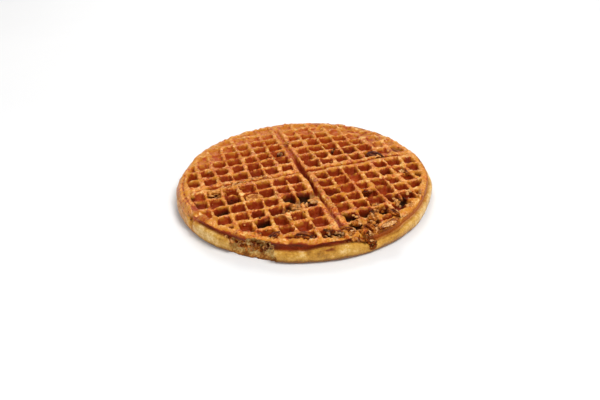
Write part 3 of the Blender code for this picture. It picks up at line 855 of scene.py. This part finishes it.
class Paint:
    """A material's nodes, with one short call for each kind."""

    def __init__(self, name):
        self.material = bpy.data.materials.new(name)
        self.material.use_nodes = True
        self.tree = self.material.node_tree
        self.shader = self.tree.nodes["Principled BSDF"]
        self.place = self.tree.nodes.new("ShaderNodeTexCoord").outputs["Object"]

    def node(self, kind, links, **settings):
        made = self.tree.nodes.new(kind)
        for setting, value in settings.items():
            setattr(made, setting, value)
        for key, value in links.items():
            self.feed(made.inputs[key], value)
        return made

    def feed(self, socket, value):
        """Links another node's socket to this one, or sets a plain value."""
        if isinstance(value, bpy.types.NodeSocket):
            self.tree.links.new(value, socket)
        else:
            socket.default_value = value

    def mark(self, name):
        return self.node("ShaderNodeAttribute", {}, attribute_name=name).outputs["Fac"]

    def grain(self, size, detail=3.0, roughness=0.55):
        """Noise from 0 to 1 with features of about the given size in millimetres."""
        links = {"Vector": self.place, "Scale": 1 / (size * MM), "Detail": detail, "Roughness": roughness}
        return self.node("ShaderNodeTexNoise", links).outputs["Fac"]

    def pores(self, size):
        links = {"Vector": self.place, "Scale": 1 / (size * MM), "Randomness": 1.0}
        return self.node("ShaderNodeTexVoronoi", links).outputs["Distance"]

    def along(self, axis):
        return self.node("ShaderNodeSeparateXYZ", {"Vector": self.place}).outputs[axis]

    def away(self):
        """Distance from the upright line through the middle."""
        x, y = self.along("X"), self.along("Y")
        return self.maths("SQRT", self.total((x, x), (y, y)), 0.0)

    def maths(self, operation, first, second):
        links = {0: first, 1: second}
        return self.node("ShaderNodeMath", links, operation=operation).outputs["Value"]

    def total(self, *terms):
        """The sum of sockets and numbers, each given with its weight."""
        running = 0.0
        for value, weight in terms:
            links = {0: value, 1: weight, 2: running}
            running = self.node("ShaderNodeMath", links, operation="MULTIPLY_ADD").outputs["Value"]
        return running

    def between(self, value, low, high, bottom=0.0, top=1.0):
        """The value eased from one range to another."""
        links = {0: value, 1: low, 2: high, 3: bottom, 4: top}
        made = self.node("ShaderNodeMapRange", links, interpolation_type="SMOOTHSTEP")
        return made.outputs["Result"]

    def ramp(self, value, *stops):
        made = self.node("ShaderNodeValToRGB", {"Fac": value})
        elements = made.color_ramp.elements
        while len(elements) < len(stops):
            elements.new(0.5)
        for element, (place, colour) in zip(elements, stops):
            element.position = place
            element.color = srgb(*colour)
        return made.outputs["Color"]

    def mix(self, share, first, second):
        """One colour going over into another. The numbers are the node's sockets for colours."""
        links = {0: share, 6: first, 7: second}
        return self.node("ShaderNodeMix", links, data_type="RGBA").outputs[2]

    def relief(self, height, depth):
        """Surface relief of the given depth in millimetres."""
        links = {"Height": height, "Distance": depth * MM, "Strength": 1.0}
        return self.node("ShaderNodeBump", links).outputs["Normal"]

    def set(self, **values):
        """Feeds inputs of the shader, with underscores for the spaces of their names."""
        for name, value in values.items():
            label = name.replace("_", " ").title().replace("Ior", "IOR")
            self.feed(self.shader.inputs[label], value)


def crust_material():
    paint = Paint("golden_crust_baked")
    # The dark mark holds browning and painted shade: at the rim's foot, in holes and in deep pockets
    sunk, torn, dark, lip = (paint.mark(name) for name in ("sunk", "torn", "dark", "lip"))
    broad = paint.grain(16.0, 2.0)
    patch = paint.grain(4.5, 3.0)
    fine = paint.grain(1.3, 4.0, 0.6)
    speck = paint.grain(0.5, 2.0)

    below = paint.between(sunk, 0.03, 0.3)
    deepest = paint.between(sunk, 0.75, 1.0)
    far = paint.between(paint.along("Y"), 5 * MM, 60 * MM)
    # side is the right side, which faces the key lamp; there and in lit, the outer band on that side, the
    # crust is painted paler: painted light
    side = paint.between(paint.along("X"), 15 * MM, 80 * MM)
    outer = paint.between(paint.away(), 70 * MM, 84 * MM)
    faded = paint.maths("MULTIPLY", below, far)
    lit = paint.maths("MULTIPLY", outer, side)
    lit_far = paint.maths("MULTIPLY", lit, far)
    lit_below = paint.maths("MULTIPLY", lit, below)

    grains = paint.total((broad, 0.6), (patch, 1.1), (fine, 0.9), (speck, 0.4), (1.0, -1.2))
    depths = paint.total((below, 0.66), (deepest, -0.04), (faded, -0.2), (far, 0.08))
    most = paint.total((far, -0.17), (side, -0.04), (lit, -0.2), (lit_far, 0.24), (lit_below, 0.24))
    most = paint.total((most, 1.0), (fine, 0.3), (1.0, 0.49))
    browned = paint.total((grains, 1.0), (depths, 1.0), (lit_far, 0.5))
    browned = paint.maths("MINIMUM", browned, most)
    baked = paint.ramp(
        paint.total((dark, 0.6), (browned, 1.0)),
        (0.0, (255, 214, 150)),
        (0.14, (242, 164, 80)),
        (0.32, (208, 110, 26)),
        (0.5, (172, 62, 12)),
        (0.74, (132, 34, 4)),
        (1.0, (44, 8, 1)),
    )

    def patches(value, low, high, share, fading):
        """Where the value is high, up to the share, fading out from one sunk depth to another."""
        full, gone = fading
        unsunk = paint.between(sunk, gone, full)
        return paint.maths("MULTIPLY", paint.between(value, low, high, 0.0, share), unsunk)

    yellow = paint.total((paint.grain(4.0, 2.0), 1.0), (far, 0.04), (outer, 0.08), (side, 0.02))
    yellow = patches(yellow, 0.47, 0.6, 0.75, (0.05, 0.6))
    # Pink and cream patches on the crests are painted highlights
    painted_pink_glint = patches(paint.grain(2.2, 3.0), 0.56, 0.66, 0.6, (0.0, 0.35))
    painted_pink_glint = paint.maths("MULTIPLY", painted_pink_glint, paint.total((far, -0.7), (1.0, 1.0)))
    painted_cream_glint = paint.total((paint.grain(3.1, 2.0), 1.0), (side, 0.03))
    painted_cream_glint = patches(painted_cream_glint, 0.58, 0.66, 0.6, (0.0, 0.12))
    right = paint.between(paint.along("X"), 0.0, 30 * MM)
    wall = paint.maths("MULTIPLY", below, paint.between(paint.away(), 82 * MM, 85 * MM))
    wall = paint.total((paint.maths("MULTIPLY", wall, right), 0.6))
    for share, colour in (
        (yellow, (212, 140, 36)),
        (painted_pink_glint, (244, 172, 118)),
        (painted_cream_glint, (250, 206, 126)),
        (wall, (172, 98, 26)),
    ):
        baked = paint.mix(share, baked, srgb(*colour))

    # The batter is painted paler on the right side: painted light
    batter = paint.total((broad, 0.6), (patch, 0.8), (fine, 0.6), (dark, 0.8), (side, -0.16))
    batter = paint.ramp(
        paint.maths("SUBTRACT", batter, 0.48),
        (0.2, (248, 214, 150)),
        (0.4, (220, 170, 80)),
        (0.56, (200, 144, 54)),
        (0.82, (140, 88, 28)),
    )
    crumb = paint.ramp(
        paint.total((patch, 0.7), (fine, 0.7), (dark, -0.35), (1.0, -0.14)),
        (0.24, (112, 62, 18)),
        (0.4, (170, 104, 40)),
        (0.52, (204, 158, 82)),
        (0.64, (232, 200, 134)),
    )
    paint.set(base_color=paint.mix(torn, paint.mix(lip, baked, batter), crumb))
    paint.set(roughness=paint.total((patch, -0.5), (fine, 0.3), (sunk, 0.12), (1.0, 0.46)))
    relief = paint.total((patch, 0.5), (fine, 0.6), (speck, 0.35), (paint.pores(1.6), 0.25))
    paint.set(normal=paint.relief(relief, 1.0))
    paint.set(subsurface_weight=0.05, subsurface_scale=0.002, coat_weight=0.06, coat_roughness=0.2)
    paint.set(specular_tint=WARM_GLINT, specular_ior_level=0.4)
    return paint.material


def nut_material():
    paint = Paint("nut_brown_skin")
    tone, flesh, furrow = (paint.mark(name) for name in ("tone", "flesh", "furrow"))
    patch = paint.grain(2.2, 3.0)
    fine = paint.grain(0.7, 3.0)
    # Darker in the hollow and folds: partly the skin's own tone, partly painted shade
    furrowed = paint.maths("MULTIPLY", furrow, paint.total((tone, 0.6), (1.0, 0.26)))
    skin = paint.ramp(
        paint.total((tone, 0.9), (furrowed, 1.0), (patch, 1.3), (fine, 1.2), (1.0, -1.2)),
        (0.0, (240, 176, 100)),
        (0.2, (202, 122, 44)),
        (0.42, (156, 80, 12)),
        (0.66, (108, 36, 0)),
        (1.0, (52, 8, 0)),
    )
    # The kernel's palest patches are painted highlights
    kernel = paint.ramp(
        paint.total((patch, 0.5), (fine, 0.5)),
        (0.35, (134, 74, 26)),
        (0.47, (202, 140, 78)),
        (0.59, (244, 196, 138)),
        (0.7, (255, 226, 188)),
    )
    paint.set(base_color=paint.mix(flesh, skin, kernel))
    paint.set(roughness=paint.total((patch, 0.3), (fine, 0.2), (flesh, 0.2), (1.0, 0.06)))
    paint.set(normal=paint.relief(paint.total((patch, 0.5), (fine, 0.5)), 0.8))
    paint.set(specular_tint=WARM_GLINT, specular_ior_level=0.14, subsurface_weight=0.04)
    return paint.material


def ball(divisions):
    """Places and faces of a unit ball of even triangles."""
    bm = bmesh.new()
    bmesh.ops.create_icosphere(bm, subdivisions=divisions, radius=1)
    places = np.array([vert.co[:] for vert in bm.verts])
    faces = np.array([[vert.index for vert in face.verts] for face in bm.faces])
    bm.free()
    return places, faces


def lie_of(node):
    """A pecan's middle, its axes from the longest to the upward one, and its half sizes."""
    spots = np.array([vert.co[:] for vert in frame["nodes"][node].data.vertices]) / MM
    middle = (spots.min(axis=0) + spots.max(axis=0)) / 2
    _, axes = np.linalg.eigh(np.cov((spots - middle).T))
    along, _, up = axes[:, ::-1].T
    along = along * math.copysign(1, along[0])
    up = up * math.copysign(1, up[2])
    axes = np.array((along, np.cross(up, along), up))
    reach = (spots - middle) @ axes.T
    middle = middle + (reach.min(axis=0) + reach.max(axis=0)) / 2 @ axes
    return middle, axes, np.ptp(reach, axis=0) / 2


def direction(heading, elevation):
    """The direction with the given heading from the x axis and rise above the floor."""
    turn, up = math.radians(heading), math.radians(elevation)
    return np.array((math.cos(turn) * math.cos(up), math.sin(turn) * math.cos(up), math.sin(up)))


def pecan(node, row, seed):
    """One pecan piece in the place of its solid, its broken face showing the pale kernel."""
    tone, wrinkles, hollow_length, hollow_width, heading, elevation, cut_at = row
    middle, axes, half = lie_of(node)
    unit, faces = ball(5)
    x, y, z = unit.T
    wander = 0.14 * bumps(unit * 3, 2.0, seed)
    hollow = np.exp(-(((y - wander) / hollow_width) ** 4)) * ease(z * 2)
    hollow = hollow * ease((hollow_length - np.abs(x)) / 0.3)
    creases = bumps(unit * (2.4, 5.0, 5.0), 1.5, seed + 1)
    folded = np.exp(-((creases / 0.16) ** 2))
    lobes = np.abs(bumps(unit * (2.2, 4.0, 4.0), 1.4, seed + 2))
    body = 1 - HOLLOW * hollow - wrinkles * (FOLDS * folded + LOBES * lobes)
    places = unit * body[:, None]
    places[:, 1] *= 1 - TAPER * x
    places[:, 2] = np.where(z > 0, places[:, 2], BELLY * places[:, 2])
    side = direction(heading, elevation)
    over = places @ side - cut_at * (1 + 0.25 * rough(unit * 4, 2.0, seed + 3))
    places -= np.outer(BREAK * np.maximum(over, 0), side)
    spots = middle + (places * half) @ axes
    spots = spots + unit @ axes * (0.2 * rough(spots, 1.6, seed + 4))[:, None]
    # The furrow mark darkens the hollow and folds: partly the skin's own tone, partly painted shade
    marks = {
        "tone": np.full(len(unit), tone),
        "flesh": ease(over / 0.05),
        "furrow": np.clip(1.2 * hollow + wrinkles * (0.8 * folded - 0.3 * lobes), 0, 1),
    }
    obj = piece_of(node + "_kernel", spots, faces.tolist(), marks)
    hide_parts(node)
    return obj


def chopped(draw, unit):
    """A unit ball with some flat broken faces, and how much of each is broken."""
    places = unit.copy()
    flesh = np.zeros(len(unit))
    for _ in range(draw.integers(3, 6)):
        side = draw.normal(size=3)
        side = side / np.linalg.norm(side)
        reach = places @ side
        most = draw.uniform(0.45, 0.75)
        over = reach > most
        places[over] -= np.outer(reach[over] - most, side)
        flesh[over] = 1
    return places, flesh


def bits(name, rows, divisions):
    """Many small bits in one piece. A row is a place, sizes, heading, tilt, tone and bareness."""
    unit, faces = ball(divisions)
    draw = np.random.default_rng(SEED + len(rows))
    places, turned, marks = [], [], []
    for number, (place, size, heading, tilt, tone, bare) in enumerate(rows):
        shape, flesh = chopped(draw, unit)
        turn = Matrix.Rotation(math.radians(heading), 3, "Z")
        turn = np.array(turn @ Matrix.Rotation(math.radians(tilt), 3, "X"))
        spots = (shape * size / 2) @ turn.T + place
        spots += unit * (0.13 * min(size) * rough(spots, 1.3, SEED + number % 7))[:, None]
        places.append(spots)
        turned.append(faces + number * len(unit))
        marks.append((np.full(len(unit), tone), flesh * bare, 0 * flesh))
    named = dict(zip(("tone", "flesh", "furrow"), np.concatenate(marks, axis=1)))
    return piece_of(name, np.concatenate(places), np.concatenate(turned).tolist(), named)


def chip_rows():
    """Each chip as a few fragments strewn along it."""
    draw = np.random.default_rng(SEED + 5)
    for x, y, z, length, width, height, heading, tone, bare in (*CHIPS, *BITS):
        count = max(2, round(length / CHIP_SPACING))
        whole = np.array((1.9 * length / count, 0.7 * width, 0.8 * height))
        for number in range(count):
            along = (number - (count - 1) / 2) * length / count
            aside = draw.uniform(-0.35, 0.35) * width
            place = rounded(heading, along, z + draw.uniform(-0.3, 0.2) * height)
            place = place + rounded(heading + 90, aside, 0) + (x, y, 0)
            size = whole * draw.uniform(0.6, 1.1, 3)
            own_tone = np.clip(tone + draw.uniform(-0.2, 0.5) * (0.3 + tone), 0, 1)
            own_bare = np.clip(bare + draw.uniform(-0.5, 0.2), 0, 1)
            own_heading = heading + draw.uniform(-60, 60)
            yield place, size, own_heading, draw.uniform(-40, 40), own_tone, own_bare


def torn_rows():
    """Pieces of nut and crumb that stick out of the torn stretch."""
    draw = np.random.default_rng(SEED)
    for number in range(TEAR_CRUMBS):
        angle = TEAR_FROM + (TEAR_TO - TEAR_FROM) * (number + 0.5) / TEAR_CRUMBS
        radius = TEAR_RADIUS - draw.uniform(0.2, 1.2)
        place = rounded(angle, radius, draw.uniform(2.4, 9.4))
        size = np.array((1, draw.uniform(0.6, 0.9), draw.uniform(0.6, 0.9))) * TEAR_CRUMB_SIZE
        yield place, size, draw.uniform(0, 180), draw.uniform(-40, 40), draw.uniform(0.2, 0.9), 0.6


def scattered_rows():
    """Fine crumbs on the upper face, most of them near the larger pieces."""
    draw = np.random.default_rng(SEED + 3)
    homes = np.array([row[:2] for row in CHIPS])
    spots = homes[draw.integers(0, len(homes), FINE_CRUMBS)]
    spots = spots + draw.normal(0, FINE_CRUMB_SPREAD, (FINE_CRUMBS, 2))
    spots = spots[flat_length(spots) < GRID_RADIUS - 3]
    height = top_face(flat_points(*spots.T))[0]
    for (x, y), z in zip(spots, height):
        longest = draw.uniform(0.8, 2.2)
        size = longest * np.array((1, draw.uniform(0.5, 0.9), draw.uniform(0.4, 0.8)))
        tilt = draw.uniform(-30, 30)
        yield (x, y, z + 0.2), size, draw.uniform(0, 180), tilt, draw.uniform(0.0, 0.9), 0.8


def floor():
    mesh = bpy.data.meshes.new("floor")
    corners = FLOOR_REACH * np.array(((-1, -1, 0), (1, -1, 0), (1, 1, 0), (-1, 1, 0)))
    mesh.from_pydata(corners.tolist(), [], [(0, 1, 2, 3)])
    paint = Paint("pale_floor")
    pale = paint.ramp(paint.grain(400.0), (0.3, (238, 241, 246)), (0.7, (243, 246, 251)))
    paint.set(base_color=pale, roughness=0.9)
    mesh.materials.append(paint.material)
    linked("floor", mesh)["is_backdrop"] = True


def seen_from(azimuth, elevation):
    """Where a viewer stands, as a direction from the waffle, and the turn that faces it."""
    away = Vector(direction(azimuth - 90, elevation))
    return away, away.to_track_quat("Z", "Y")


def light(name, azimuth, elevation, size, power, colour):
    """A soft square lamp that points at the waffle."""
    lamp = bpy.data.lights.new(name, "AREA")
    lamp.size = size
    lamp.energy = power
    lamp.color = colour
    away, turn = seen_from(azimuth, elevation)
    obj = linked(name, lamp)
    obj.location = away * LAMP_DISTANCE
    obj.rotation_euler = turn.to_euler()


def world():
    made = bpy.data.worlds.new("studio")
    made.use_nodes = True
    background = made.node_tree.nodes["Background"]
    background.inputs["Color"].default_value = AMBIENT_COLOUR
    background.inputs["Strength"].default_value = AMBIENT
    bpy.context.scene.world = made
    bpy.context.scene.view_settings.view_transform = "Standard"


def camera():
    """The photograph's view: its azimuth, elevation, distance, focal length, shift and roll."""
    data = bpy.data.cameras.new("camera")
    data.sensor_width = SENSOR_WIDTH
    data.lens = LENS
    data.shift_x = (PHOTO_WIDTH / 2 - MIDDLE_X) / PHOTO_WIDTH
    data.shift_y = (MIDDLE_Y - PHOTO_HEIGHT / 2) / PHOTO_WIDTH
    away, turn = seen_from(AZIMUTH, ELEVATION)
    look = turn.to_matrix() @ Matrix.Rotation(math.radians(ROLL), 3, "Z")
    obj = linked("camera", data)
    obj.matrix_world = Matrix.Translation(away * DISTANCE) @ look.to_4x4()
    bpy.context.scene.camera = obj


for left in [obj for obj in bpy.context.scene.objects if obj.type in ("LIGHT", "CAMERA")]:
    bpy.data.objects.remove(left)
noise.seed_set(SEED)

body = crust()
body.data.materials.append(crust_material())
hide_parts("waffle")

nut = nut_material()
for index, row in enumerate(PECANS, 1):
    kernel = pecan(f"pecan_{index:02d}", row, SEED + 10 * index)
    kernel.data.materials.append(nut)

for name, rows, divisions in (
    ("chips", [*chip_rows(), *torn_rows()], 3),
    ("crumbs", list(scattered_rows()), 2),
):
    scatter = bits(name, rows, divisions)
    scatter.data.materials.append(nut)

floor()
for name, row in LAMPS.items():
    light(name, *row)
world()
camera()

sizes = {"cad": CAD_BOX, "shown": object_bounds()}
{name: [list(corner) for corner in box] for name, box in sizes.items()}
